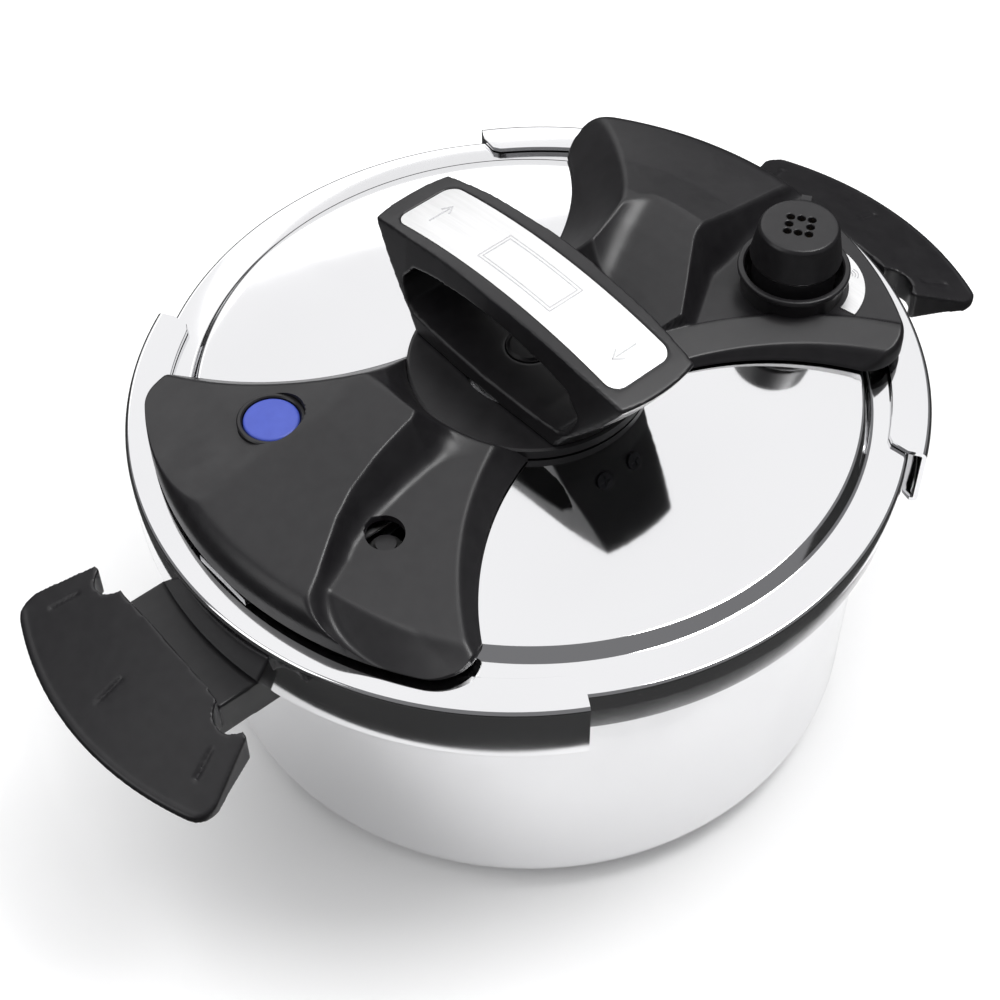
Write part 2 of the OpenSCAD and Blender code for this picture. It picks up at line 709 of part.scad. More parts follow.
module bridge_handle() {
    outline = concat([[70, grip_z]], [for (y = [70:-7:-70]) [y, crown(y)]], [[-70, grip_z]]);
    // the ends are turned to the hub, so that they sweep past the covers
    ends = [[0, grip_z], [41, grip_z], [44.5, 20], [50, 27], [56, 35], [grip_half_l - 0.6, 43.6],
        [grip_half_l + 0.4, 45.4], [grip_half_l + 0.4, 60], [0, 60]];
    opening = concat(
        [[-25, 19.6], [25, 19.6], [36, 20.6], [40, 23], [43, 29], [43.4, 32.6], [41.4, 35.2]],
        [for (y = [38:-7.6:-38]) [y, crown(y) - 8 - 3.6 * pow(y / 38, 2)]],
        [[-41.4, 35.2], [-43.4, 32.6], [-43, 29], [-40, 23], [-36, 20.6]]);
    color([0.1, 0.1, 0.11]) translate([0, 0, ring_z]) difference() {
        intersection() {
            rotate([90, 0, 90]) translate([0, 0, -40]) linear_extrude(80) difference() {
                polygon(outline);
                polygon(opening);
            }
            lens(grip_half_w, grip_z - 1, crown_h + 1, 4);
            rotate_extrude() polygon(ends);
        }
        plate_shape(plate_w + 0.15, plate_l + 0.15, -2, 1.4);
        translate([0, 0, grip_z - 1]) cylinder(h = 1 + cam_z + cam_t - grip_z, r = cam_r + 0.1);
        translate([0, 0, grip_z - 1]) cylinder(h = 4.3, r = spindle_r + 0.05);
        translate([0, 0, grip_z + 3.2]) cylinder(h = 10, r = 8);
        at_cam_screws() translate([0, 0, grip_z - 1]) cylinder(h = 6, r = 1.5);
        at_handle_screws() {
            translate([0, 0, -5]) cylinder(h = 6.2, r = 3.2);
            cylinder(h = 4.4, r = 1.5);
        }
    }
}

module handle_plate() {
    color("gainsboro") translate([0, 0, ring_z]) plate_shape(plate_w, plate_l, 0.5, 1.4);
}

module handle_screws() {
    color("silver") translate([0, 0, ring_z]) at_handle_screws() difference() {
        union() {
            translate([0, 0, -0.4]) cylinder(h = 1.6, r = 3);
            cylinder(h = 4.3, r = 1.5);
        }
        translate([-2, -0.4, -0.5]) cube([4, 0.8, 0.8]);
        translate([-0.4, -2, -0.5]) cube([0.8, 4, 0.8]);
    }
}

// Disc with two spiral slots that draw the follower pins in as the handle turns
module cam_disc() {
    steps = 18;
    function slot_rho(a) = pin_open_x - jaw_travel * a / turn_angle;
    half = slot_r / 0.956;    // the slot crosses the radius at a slant
    outer = [for (i = [0:steps])
        let (a = turn_angle * i / steps, r = slot_rho(a) + half) [r * cos(-a), r * sin(-a)]];
    inner = [for (i = [steps:-1:0])
        let (a = turn_angle * i / steps, r = slot_rho(a) - half) [r * cos(-a), r * sin(-a)]];
    color("gainsboro") translate([0, 0, ring_z + cam_z]) linear_extrude(cam_t) difference() {
        circle(r = cam_r);
        circle(r = spindle_r + 0.05);
        for (s = [0, 180]) rotate(s) {
            polygon(concat(outer, inner));
            translate([pin_open_x, 0]) circle(r = slot_r);
            rotate(-turn_angle) translate([pin_open_x - jaw_travel, 0]) circle(r = slot_r);
        }
        at_cam_screws() circle(r = 1.6);
    }
}

module cam_screws() {
    color("silver") translate([0, 0, ring_z + cam_z]) at_cam_screws() cylinder(h = 6, r = 1.5);
}

// Snap ring in the spindle's groove that keeps the handle down
module hub_clip() {
    color("silver") translate([0, 0, ring_z + grip_z + 3.45]) difference() {
        cylinder(h = 1, r = 7.4);
        translate([0, 0, -1]) cylinder(h = 3, r = spindle_r - 0.9);
        translate([0, -2.5, -1]) cube([10, 5, 3]);
    }
}

// Plug over the spindle, in the floor of the finger opening
module hub_cap() {
    color([0.1, 0.1, 0.11]) translate([0, 0, ring_z + grip_z + 5.2]) {
        cylinder(h = 1.2, r = 7.95);
        translate([0, 0, 1.2 - e]) cylinder(h = 0.6, r1 = 7.6, r2 = 6.6);
    }
}

// ---- Release button ----

module release_button() {
    color([0.36, 0.42, 0.8]) translate([button_xy[0], button_xy[1], ring_z]) {
        rotate_extrude() polygon(concat(
            [[0, button_flange_z], [button_r + 1.4, button_flange_z], [button_r + 1.4, button_flange_z + 1.6],
            [button_r, button_flange_z + 1.6]],
            arc(button_r - 1, button_top - 1.8, 1, 0, 75, 4), [[0, button_top]]));
        translate([0, 0, plate_z + plate_t + 1]) cylinder(h = 5, r = 3);
    }
}

module button_spring() {
    spring_z = plate_z + plate_t;
    color("gray") translate([button_xy[0], button_xy[1], ring_z + spring_z])
        coil(4.6, 0.35, 2.5, button_flange_z - spring_z);
}

pot_body();
base_core();
base_cap();
side_handle_left();
side_handle_right();
handle_bracket_left();
handle_bracket_right();
side_handle_screws();
lid_shell();
lid_gasket();
carrier_plate();
hub_collar();
spindle();
spindle_nut();
button_cover();
valve_cover();
cover_screws();
steam_label();
vent_pipe();
vent_nut();
vent_filter();
float_seat();
float_pin();
safety_valve();
safety_nut();
regulator_weight();
regulator_knob();
jaw_left();
jaw_right();
jaw_arm_left();
jaw_arm_right();
follower_pin_left();
follower_pin_right();
bridge_handle();
handle_plate();
handle_screws();
cam_disc();
cam_screws();
hub_clip();
hub_cap();
release_button();
button_spring();
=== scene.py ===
import json
import math

import bmesh
import bpy
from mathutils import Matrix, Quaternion, Vector

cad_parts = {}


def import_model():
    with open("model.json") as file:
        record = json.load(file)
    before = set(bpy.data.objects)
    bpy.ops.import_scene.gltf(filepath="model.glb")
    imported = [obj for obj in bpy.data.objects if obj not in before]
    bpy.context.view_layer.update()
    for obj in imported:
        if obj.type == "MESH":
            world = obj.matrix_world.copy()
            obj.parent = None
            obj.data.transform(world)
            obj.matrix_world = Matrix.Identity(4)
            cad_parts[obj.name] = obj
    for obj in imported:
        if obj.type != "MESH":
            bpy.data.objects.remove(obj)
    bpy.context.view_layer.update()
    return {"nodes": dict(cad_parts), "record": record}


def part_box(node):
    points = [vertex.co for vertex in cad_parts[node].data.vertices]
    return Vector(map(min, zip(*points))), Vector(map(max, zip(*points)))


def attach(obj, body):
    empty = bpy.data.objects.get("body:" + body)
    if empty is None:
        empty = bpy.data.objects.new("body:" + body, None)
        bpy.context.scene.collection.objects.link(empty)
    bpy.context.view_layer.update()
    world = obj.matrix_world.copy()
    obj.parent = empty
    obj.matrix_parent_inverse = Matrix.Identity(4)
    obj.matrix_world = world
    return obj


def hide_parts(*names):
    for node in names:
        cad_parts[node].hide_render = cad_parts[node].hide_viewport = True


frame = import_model()
nodes = frame["nodes"]

MM = 0.001


def middle_of(node):
    """Middle of a CAD node's box, in millimetres."""
    return [(a + b) / 2 / MM for a, b in zip(*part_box(node))]


# Heights and radii in millimetres. Heights of the lid's pieces are above the lid ring.
SHEET = 1.2
DOME_H = 9
DOME_FLAT_R = 26
DOME_EDGE_R = 113.5
RING_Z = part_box("lid_shell")[1].z / MM - DOME_H
LID_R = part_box("lid_shell")[1].x / MM
POT_R = LID_R - 9.8
RIM_Z = RING_Z - 8.6
CROWN_H = 54.3
CROWN_R = 244.3
VALVE = middle_of("regulator_weight")
FLOAT = middle_of("float_pin")
BUTTON = middle_of("release_button")


# ---- Meshes ----

def placed(name, data):
    """Puts a new object with this data in the scene."""
    thing = bpy.data.objects.new(name, data)
    bpy.context.scene.collection.objects.link(thing)
    return thing


def add_piece(name, mesh, body, slot, replaces=(), smooth_angle=35, finish=None):
    """Puts a mesh in the scene as a piece that moves with a body and may stand for CAD nodes."""
    mesh.shade_smooth()
    mesh.set_sharp_from_angle(angle=math.radians(smooth_angle))
    mesh.materials.clear()
    mesh.materials.append(finish or finishes[slot])
    piece = placed(name, mesh)
    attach(piece, body)
    if replaces:
        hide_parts(*replaces)


def mesh_from(name, points, faces):
    """A mesh from points in millimetres, with its faces turned outwards."""
    mesh = bpy.data.meshes.new(name)
    mesh.from_pydata([[c * MM for c in p] for p in points], [], faces)
    shape = bmesh.new()
    shape.from_mesh(mesh)
    bmesh.ops.remove_doubles(shape, verts=shape.verts, dist=1e-7)
    bmesh.ops.dissolve_degenerate(shape, edges=shape.edges, dist=1e-7)
    bmesh.ops.recalc_face_normals(shape, faces=shape.faces)
    shape.to_mesh(mesh)
    shape.free()
    return mesh


def arc(cx, cy, r, start, end, steps=8):
    """Points on an arc in a plane, angles in degrees."""
    angles = [math.radians(start + (end - start) * i / steps) for i in range(steps + 1)]
    return [(cx + r * math.cos(a), cy + r * math.sin(a)) for a in angles]


def lathe(name, profile, segments=256):
    """A closed outline of (radius, height) points turned about the Z axis."""
    points = []
    for i in range(segments):
        a = 2 * math.pi * i / segments
        points += [(r * math.cos(a), r * math.sin(a), z) for r, z in profile]
    count = len(profile)
    faces = []
    for i in range(segments):
        here, there = i * count, (i + 1) % segments * count
        for k in range(count):
            n = (k + 1) % count
            faces.append((here + k, there + k, there + n, here + n))
    return mesh_from(name, points, faces)


def after_modifiers(thing):
    """An object's mesh as its modifiers leave it. The object itself is removed."""
    bpy.context.view_layer.update()
    graph = bpy.context.evaluated_depsgraph_get()
    mesh = bpy.data.meshes.new_from_object(thing.evaluated_get(graph))
    bpy.data.objects.remove(thing)
    return mesh


def moulded(node, voxel, soften):
    """A copy of a CAD node's mesh with the rounded edges of a moulding."""
    mesh = nodes[node].data.copy()
    shape = bmesh.new()
    shape.from_mesh(mesh)
    bmesh.ops.remove_doubles(shape, verts=shape.verts, dist=1e-6)
    shape.to_mesh(mesh)
    shape.free()
    rough = placed(node + "_rough", mesh)
    remesh = rough.modifiers.new("remesh", "REMESH")
    remesh.mode = "VOXEL"
    remesh.voxel_size = voxel * MM
    smooth = rough.modifiers.new("soften", "SMOOTH")
    smooth.iterations = soften
    thin = rough.modifiers.new("thin", "DECIMATE")
    thin.ratio = 0.4
    return after_modifiers(rough)


# ---- Materials ----

class Finish:
    """A Principled material with helpers for its procedural detail, in object coordinates (metres)."""

    def __init__(self, name, colour, metallic, roughness, **sockets):
        self.material = bpy.data.materials.new(name)
        self.material.use_nodes = True
        self.material.diffuse_color = (*colour, 1)
        self.tree = self.material.node_tree
        self.shader = self.tree.nodes["Principled BSDF"]
        self.shader.inputs["Base Color"].default_value = (*colour, 1)
        self.shader.inputs["Metallic"].default_value = metallic
        self.shader.inputs["Roughness"].default_value = roughness
        for socket, value in sockets.items():
            self.shader.inputs[socket.replace("_", " ")].default_value = value
        self.place = self.tree.nodes.new("ShaderNodeTexCoord").outputs["Object"]

    def node(self, kind, **values):
        made = self.tree.nodes.new(kind)
        for name, value in values.items():
            setattr(made, name, value)
        return made

    def join(self, source, target):
        self.tree.links.new(source, target)

    def noise(self, scale, detail=2, place=None):
        made = self.node("ShaderNodeTexNoise")
        made.inputs["Scale"].default_value = scale
        made.inputs["Detail"].default_value = detail
        self.join(place or self.place, made.inputs["Vector"])
        return made.outputs["Fac"]

    def stretched(self, scale_x, scale_y, scale_z):
        made = self.node("ShaderNodeMapping")
        made.inputs["Scale"].default_value = (scale_x, scale_y, scale_z)
        self.join(self.place, made.inputs["Vector"])
        return made.outputs["Vector"]

    def turned(self, radial, axial):
        """Coordinates that change only with radius and height, for marks left by turning."""
        split = self.node("ShaderNodeSeparateXYZ")
        self.join(self.place, split.inputs[0])
        flat = self.node("ShaderNodeCombineXYZ")
        self.join(split.outputs["X"], flat.inputs["X"])
        self.join(split.outputs["Y"], flat.inputs["Y"])
        radius = self.node("ShaderNodeVectorMath", operation="LENGTH")
        self.join(flat.outputs[0], radius.inputs[0])
        both = self.node("ShaderNodeCombineXYZ")
        self.join(radius.outputs["Value"], both.inputs["X"])
        self.join(split.outputs["Z"], both.inputs["Z"])
        scaled = self.node("ShaderNodeMapping")
        scaled.inputs["Scale"].default_value = (radial, 1, axial)
        self.join(both.outputs[0], scaled.inputs["Vector"])
        return scaled.outputs["Vector"]

    def ranged(self, factor, low, high):
        made = self.node("ShaderNodeMapRange")
        made.inputs["From Min"].default_value = 0.3
        made.inputs["From Max"].default_value = 0.7
        made.inputs["To Min"].default_value = low
        made.inputs["To Max"].default_value = high
        self.join(factor, made.inputs["Value"])
        return made.outputs["Result"]

    def rough(self, factor, low, high):
        self.join(self.ranged(factor, low, high), self.shader.inputs["Roughness"])
        return self

    def tint(self, factor, dark, light):
        mix = self.node("ShaderNodeMix", data_type="RGBA")
        mix.inputs["A"].default_value = (*dark, 1)
        mix.inputs["B"].default_value = (*light, 1)
        self.join(self.ranged(factor, 0, 1), mix.inputs["Factor"])
        self.join(mix.outputs["Result"], self.shader.inputs["Base Color"])
        return self

    def bump(self, *layers):
        """Each layer is (height, strength, depth in millimetres)."""
        normal = None
        for height, strength, depth in layers:
            made = self.node("ShaderNodeBump")
            made.inputs["Strength"].default_value = strength
            made.inputs["Distance"].default_value = depth * MM
            self.join(height, made.inputs["Height"])
            if normal:
                self.join(normal, made.inputs["Normal"])
            normal = made.outputs["Normal"]
        self.join(normal, self.shader.inputs["Normal"])
        return self


def black_plastic():
    f = Finish("black_phenolic", (0.008, 0.0075, 0.0085), 0, 0.36, IOR=1.5)
    f.rough(f.noise(90, 3), 0.32, 0.40)
    f.tint(f.noise(240, 4), (0.007, 0.0065, 0.0075), (0.010, 0.0095, 0.0105))
    f.bump((f.noise(60, 2), 0.12, 0.10), (f.noise(2600, 2), 0.30, 0.03))
    return f.material


def blue_plastic():
    f = Finish("blue_plastic", (0.042, 0.068, 0.35), 0, 0.45)
    f.rough(f.noise(150, 2), 0.40, 0.52)
    f.tint(f.noise(300, 3), (0.039, 0.063, 0.335), (0.046, 0.073, 0.365))
    f.bump((f.noise(2600, 2), 0.25, 0.03))
    return f.material


def polished_steel(name, colour, low, high, line_depth):
    """Steel polished on a spinning mandrel: faint rings, slight waviness, a few smears."""
    f = Finish(name, colour, 1, low)
    rings = f.noise(1, 3, f.turned(2200, 2200))
    f.rough(f.noise(28, 4), low, high)
    f.tint(f.noise(9, 2), [c * 0.96 for c in colour], colour)
    f.bump((rings, 0.35, line_depth), (f.noise(14, 1), 0.10, 0.25))
    return f.material


def plain_steel():
    f = Finish("plain_steel", (0.62, 0.62, 0.63), 1, 0.3)
    f.rough(f.noise(200, 3), 0.24, 0.4)
    f.tint(f.noise(120, 3), (0.54, 0.54, 0.55), (0.66, 0.66, 0.67))
    f.bump((f.noise(1, 2, f.stretched(60, 1800, 1800)), 0.2, 0.02))
    return f.material


def satin_plate():
    """Aluminium with a fine straight grain along the plate."""
    f = Finish("satin_plate", (0.92, 0.92, 0.92), 1, 0.42)
    grain = f.noise(1, 3, f.stretched(3000, 70, 400))
    f.rough(grain, 0.36, 0.48)
    f.tint(f.noise(1, 2, f.stretched(900, 30, 100)), (0.88, 0.88, 0.88), (0.95, 0.95, 0.95))
    f.bump((grain, 0.15, 0.012))
    return f.material


def printed_grey():
    f = Finish("printed_grey", (0.45, 0.45, 0.46), 0, 0.5)
    f.tint(f.noise(600, 3), (0.40, 0.40, 0.41), (0.50, 0.50, 0.51))
    f.rough(f.noise(300, 2), 0.45, 0.6)
    return f.material


def aluminium():
    f = Finish("aluminium_core", (0.66, 0.66, 0.67), 1, 0.45)
    f.rough(f.noise(150, 3), 0.38, 0.55)
    f.bump((f.noise(1, 2, f.turned(1500, 1500)), 0.2, 0.02))
    return f.material


def silicone():
    f = Finish("silicone", (0.75, 0.75, 0.72), 0, 0.5, Subsurface_Weight=0.1)
    f.tint(f.noise(80, 3), (0.70, 0.70, 0.67), (0.78, 0.78, 0.75))
    f.rough(f.noise(120, 2), 0.45, 0.6)
    return f.material


def black_rubber():
    f = Finish("black_rubber", (0.012, 0.012, 0.012), 0, 0.6)
    f.tint(f.noise(90, 3), (0.010, 0.010, 0.010), (0.015, 0.015, 0.015))
    f.rough(f.noise(140, 2), 0.55, 0.7)
    return f.material


def dark_steel():
    f = Finish("dark_steel", (0.07, 0.07, 0.075), 1, 0.35)
    f.rough(f.noise(200, 3), 0.28, 0.42)
    f.tint(f.noise(120, 3), (0.06, 0.06, 0.065), (0.08, 0.08, 0.085))
    return f.material


def brass():
    f = Finish("brass", (0.70, 0.50, 0.22), 1, 0.28)
    f.rough(f.noise(180, 3), 0.22, 0.38)
    f.tint(f.noise(90, 3), (0.60, 0.42, 0.18), (0.74, 0.54, 0.26))
    return f.material


finishes = {
    "satin_steel": polished_steel("satin_steel", (0.78, 0.78, 0.79), 0.16, 0.24, 0.010),
    "mirror_steel": polished_steel("mirror_steel", (0.82, 0.82, 0.83), 0.05, 0.10, 0.003),
    "plain_steel": plain_steel(),
    "aluminium_core": aluminium(),
    "black_phenolic": black_plastic(),
    "blue_plastic": blue_plastic(),
    "satin_plate": satin_plate(),
    "silicone": silicone(),
    "brass": brass(),
    "black_rubber": black_rubber(),
    "dark_steel": dark_steel(),
}
ink = printed_grey()

for part in frame["record"]["subparts"]:
    cad_mesh = nodes[part["node"]].data
    cad_mesh.materials.clear()
    cad_mesh.materials.append(finishes[part["material_slot"]])


# ---- Steel ----

def pot():
    """A drum with a rolled rim, in one sheet."""
    corner = 14
    inner = corner - SHEET
    rim_r = POT_R + 8.3
    base_h = 4
    outline = (
        [(0, base_h)]
        + arc(POT_R - corner, base_h + corner, corner, -90, 0, 14)
        + [(POT_R, RIM_Z - 30), (POT_R, RIM_Z - 3.2)]
        + arc(POT_R + 2, RIM_Z - 3.2, 2, 180, 90, 6)
        + [(rim_r - SHEET - 1, RIM_Z - SHEET)]
        + arc(rim_r - SHEET - 0.6, RIM_Z - SHEET - 0.6, 0.6, 90, 0, 3)
        + [(rim_r - SHEET, RIM_Z - 10.4), (rim_r, RIM_Z - 10.4)]
        + arc(rim_r - 1.2, RIM_Z - 1.2, 1.2, 0, 90, 6)
        + arc(POT_R + 2, RIM_Z - 3.2, 3.2, 90, 180, 8)
        + [(POT_R - SHEET, RIM_Z - 30)]
        + arc(POT_R - SHEET - inner, base_h + corner, inner, 0, -90, 14)
        + [(0, base_h + SHEET)]
    )
    add_piece("pot", lathe("pot", outline), "pot", "satin_steel", ["pot_body"])


def dome(r):
    """Height of the lid's outer surface above its ring."""
    drop = 4.5
    ball = (DOME_EDGE_R**2 - DOME_FLAT_R**2 + drop**2) / (2 * drop)
    if r <= DOME_FLAT_R:
        return DOME_H
    return DOME_H - ball + math.sqrt(ball**2 - r**2 + DOME_FLAT_R**2)


def lid():
    """A flat middle, a dome, a step down to the ring and a short skirt, in one sheet."""
    steps = 25
    pitch = (DOME_EDGE_R - DOME_FLAT_R) / steps
    radii = [DOME_FLAT_R + i * pitch for i in range(steps + 1)]
    rounding, skirt_z = 1.7, -8.2
    top = [(0, DOME_H), (14, DOME_H)] + [(r, dome(r)) for r in radii]
    step = [(114.2, 4.35), (114.8, 3.9), (116.9, 0.75), (117.5, 0.25), (118.4, 0)]
    skirt = arc(LID_R - rounding, -rounding, rounding, 90, 0, 8)
    skirt += [(LID_R, -7.9), (LID_R - 0.3, skirt_z), (LID_R - SHEET, skirt_z)]
    under = [(LID_R - SHEET, -1.8), (LID_R - 1.8, -SHEET), (117.1, -SHEET), (113.7, 3.1)]
    inside = [(r, dome(r) - SHEET) for r in reversed(radii)] + [(0, DOME_H - SHEET)]
    outline = [(r, z + RING_Z) for r, z in top + step + skirt + under + inside]
    add_piece("lid", lathe("lid", outline, 320), "lid", "mirror_steel", ["lid_shell"])


def jaw(side):
    """A C-section sheet. Its flange narrows to a rounded corner at each end."""
    outer, half_angle, corner = 133.2, 58.5, 7
    lip_r, hook_r = 119.5, 127
    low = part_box("jaw_left")[0].z / MM - RING_Z
    shift = 7
    steps = 96
    points = []
    for i in range(steps + 1):
        a = math.radians(-half_angle + 2 * half_angle * i / steps)
        to_end = (math.radians(half_angle) - abs(a)) * outer
        trim = corner - math.sqrt(max(corner**2 - max(corner - to_end, 0) ** 2, 0))
        top_in = min(lip_r + trim, outer - 3)
        low_in = min(hook_r + trim * 0.5, outer - 2)
        outline = (
            [(top_in, 0.6), (top_in, 1.7), (top_in + 0.2, 1.9)]
            + arc(outer - 2, -0.1, 2, 90, 0, 6)
            + [(outer, -8)]
            + arc(outer - 2, low + 2, 2, 0, -90, 6)
            + [(low_in, low), (low_in, low + 1.5)]
            + arc(outer - 2.1, low + 2.1, 0.6, -90, 0, 2)
            + arc(outer - 2.1, -0.2, 0.6, 0, 90, 2)
            + [(top_in, 0.4)]
        )
        for r, z in outline:
            points.append((side * (shift + r * math.cos(a)), r * math.sin(a), z + RING_Z))
    count = len(points) // (steps + 1)
    faces = [tuple(range(count)), tuple(range(steps * count, steps * count + count))]
    for i in range(steps):
        for k in range(count):
            n = (k + 1) % count
            here, there = i * count, (i + 1) * count
            faces.append((here + k, there + k, there + n, here + n))
    name = "jaw_right" if side > 0 else "jaw_left"
    mesh = mesh_from(name + "_sheet", points, faces)
    add_piece(name + "_sheet", mesh, name, "mirror_steel", [name])


# ---- Covers ----

# Seen from above, a cover lies between the hub, the lid's edge and a circle that cuts in each flank.
# Its two outer corners are rounded.
HUB_R = 42.2
WAIST_Y = 140
WAIST_R = 108
CORNER = 15
CORNER_D = LID_R - CORNER
CORNER_Y = (WAIST_Y**2 + CORNER_D**2 - (WAIST_R + CORNER) ** 2) / (2 * WAIST_Y)
CORNER_X = math.sqrt(CORNER_D**2 - CORNER_Y**2)
CORNER_STARTS_R = math.hypot(
    CORNER_X * (1 - CORNER / (WAIST_R + CORNER)),
    CORNER_Y + (WAIST_Y - CORNER_Y) * CORNER / (WAIST_R + CORNER),
)
# Widths, in millimetres of height, over which faces of a cover blend: soft edges and crisp ones.
SOFT = 1.2
CRISP = 0.4


def along(table, x):
    """Value on a chain of (x, value) points, carried straight on past its ends."""
    for (x0, z0), (x1, z1) in zip(table, table[1:]):
        if x <= x1:
            break
    return z0 + (z1 - z0) * (x - x0) / (x1 - x0)


def lower(a, b, blend):
    """The lower of two heights, with the edge between them rounded off."""
    h = max(blend - abs(a - b), 0) / blend
    return min(a, b) - h * h * blend / 4


def higher(a, b, blend):
    """The higher of two heights, with the valley between them filled."""
    return -lower(-a, -b, blend)


def edge_distance(x, y):
    """Distance in from the covers' round outer edge, corners included."""
    corner_span = 108
    dx, dy = x - CORNER_X, abs(y) - CORNER_Y
    turn = math.degrees(math.atan2(dy, dx) - math.atan2(CORNER_Y, CORNER_X))
    if 0 < turn < corner_span:
        return CORNER - math.hypot(dx, dy)
    return LID_R - math.hypot(x, y)


def cover_top(x, y):
    """What both covers are cut from: rounded outer edge, cone, bowl at the hub."""
    rho = math.hypot(x, y)
    inward = edge_distance(x, y)
    rounding, rounded = 10, 7.58
    edge = 19.2 + 0.25 * (inward - rounded)
    if inward < rounded:
        edge = 9.5 + math.sqrt(max(rounding**2 - (rounding - inward) ** 2, 0))
    cone = along([(55.2, 32.3), (77, 29), (97, 24.4), (125, 18.9)], rho)
    bowl = along([(42.2, 13.3), (45.7, 20), (51.2, 27), (55.2, 32.5)], rho)
    return lower(lower(cone, edge, 0.6), bowl, SOFT)


def flank_distance(x, y, side):
    """Distance in from the circle that cuts a flank."""
    return math.hypot(x, y - side * WAIST_Y) - WAIST_R


def button_cover_height(x, y):
    """Left cover, with x measured away from the hub. A curved wall goes down to a well's floor."""
    facet = 24.07 - 0.195 * (x - 97) - 0.22 * (y - 18)
    wall_foot = [(41, -21.5), (52, -18.3), (60, -18), (70, -18.7), (88, -20.9), (97, -23.8), (117, -34.5)]
    steepness = along([(41, 0.45), (46, 0.56), (52, 1.2), (58, 1.6)], min(x, 58))
    outer_band = 12.5
    inward = LID_R - math.hypot(x, y)
    fade = min(max((outer_band - inward) / outer_band, 0), 1)
    wall = 16 + (y - along(wall_foot, x)) * steepness * (1 - 0.7 * fade)
    well = along([(40, 17.5), (86, 15.2), (101, 14.6), (118, 16.6)], x) + 0.11 * (y + 28)
    well += lower(0, (well - 5.4) / outer_band * (inward - outer_band), 0.6)
    beside_hub = 32 + 0.5 * (0.984 * (x - 52.3) - 0.18 * (y + 9.2))
    z = lower(cover_top(x, y), facet, CRISP)
    z = lower(z, beside_hub, SOFT)
    z = lower(z, higher(wall, well, 4), SOFT)
    for side in (-1, 1):
        z = lower(z, 5 + flank_distance(x, y, side), SOFT)
    return z


def valve_cover_height(x, y):
    """Right cover: a dish by the hub, a well round the valve and a strip along one flank."""
    rho = math.hypot(x, y)
    facet = 28.2 - 0.2 * (x - 77) - 0.09 * (y - 28.5)
    dish = along([(42, 14.5), (48, 17.5), (56, 21), (65, 24.5), (73, 27), (79.5, 28.6), (90, 36)], rho)
    dish_side = 30 - 0.167 * (x - 60) + 1.333 * (y - 24)
    well = 25 - (0.47 * (x - 65) - 0.76 * (y + 11)) / 0.45
    well = higher(well, 28.3 - (0.124 * (x - 78) - 0.8 * (y + 2.4)) / 0.5, 2)
    well = higher(well, 13.2, 4)
    out = flank_distance(x, y, -1)
    well = higher(well, 15 + (16.5 - out) * 1.5, 0.8)
    strip = along([(0, 5), (4.5, 12), (17, 15), (18, 24)], out)
    z = lower(cover_top(x, y), facet, CRISP)
    z = lower(z, higher(dish, dish_side, 11), 1)
    z = lower(z, well, SOFT)
    z = lower(z, strip, 0.8)
    return lower(z, 5 + flank_distance(x, y, 1), SOFT)


def cover_foot(x, y):
    """Lower edge of the covers: clear of the dome, the carrier plate and the jaw arms."""
    lowest, gap, lid_step_r = 4, 0.8, 117
    carrier_half_w, carrier_end, over_carrier = 22.2, 60, 10.05
    arm_half_w, arm_end, over_arm = 12.6, 121, 11.9
    foot = max(lowest, dome(min(math.hypot(x, y), lid_step_r)) + gap)
    if abs(y) < carrier_half_w and x < carrier_end:
        foot = max(foot, over_carrier)
    if abs(y) < arm_half_w and x < arm_end:
        foot = max(foot, over_arm)
    return foot


def cover_limit(rho, side, inset):
    """Angle at which a circle of radius rho about the hub leaves the covers' outline."""
    reach = WAIST_R + inset
    y = min((rho**2 + WAIST_Y**2 - reach**2) / (2 * WAIST_Y), rho * 0.999)
    limit = math.asin(y / rho)
    if rho > CORNER_STARTS_R:
        r = CORNER - inset
        cosine = (rho**2 + CORNER_D**2 - r**2) / (2 * rho * CORNER_D)
        limit = min(limit, math.atan2(CORNER_Y, CORNER_X) + math.acos(min(max(cosine, -1), 1)))
    return side * limit


def row_end(height, inset, drop, rho, side):
    """Angle at which a row of points ends: at the outline, or where the cover meets its foot."""

    def above_foot(angle):
        x, y = rho * math.cos(angle), rho * math.sin(angle)
        return height(x, y) - drop > cover_foot(x, y)

    good, bad = side * 0.05, cover_limit(rho, side, inset)
    if above_foot(bad):
        return bad
    for _ in range(18):
        middle = (good + bad) / 2
        if above_foot(middle):
            good = middle
        else:
            bad = middle
    return good


def cover_grid(height, inset, drop, columns):
    """Rows of points from the hub outwards. Each runs from flank to flank."""
    inner, edge, outer = HUB_R + inset, 121, LID_R - inset
    wide_rows, close_rows = 104, 18
    radii = [inner + (edge - inner) * i / wide_rows for i in range(wide_rows)]
    quarter = [math.sin(math.radians(90 * i / close_rows)) for i in range(close_rows + 1)]
    radii += [edge + (outer - edge) * q for q in quarter]
    above = 0.1 if drop else 0.2
    rows = []
    for rho in radii:
        start, end = [row_end(height, inset, drop, rho, side) for side in (-1, 1)]
        row = []
        for k in range(columns + 1):
            a = start + (end - start) * k / columns
            x, y = rho * math.cos(a), rho * math.sin(a)
            row.append((x, y, max(height(x, y) - drop, cover_foot(x, y) + above)))
        rows.append(row)
    return rows


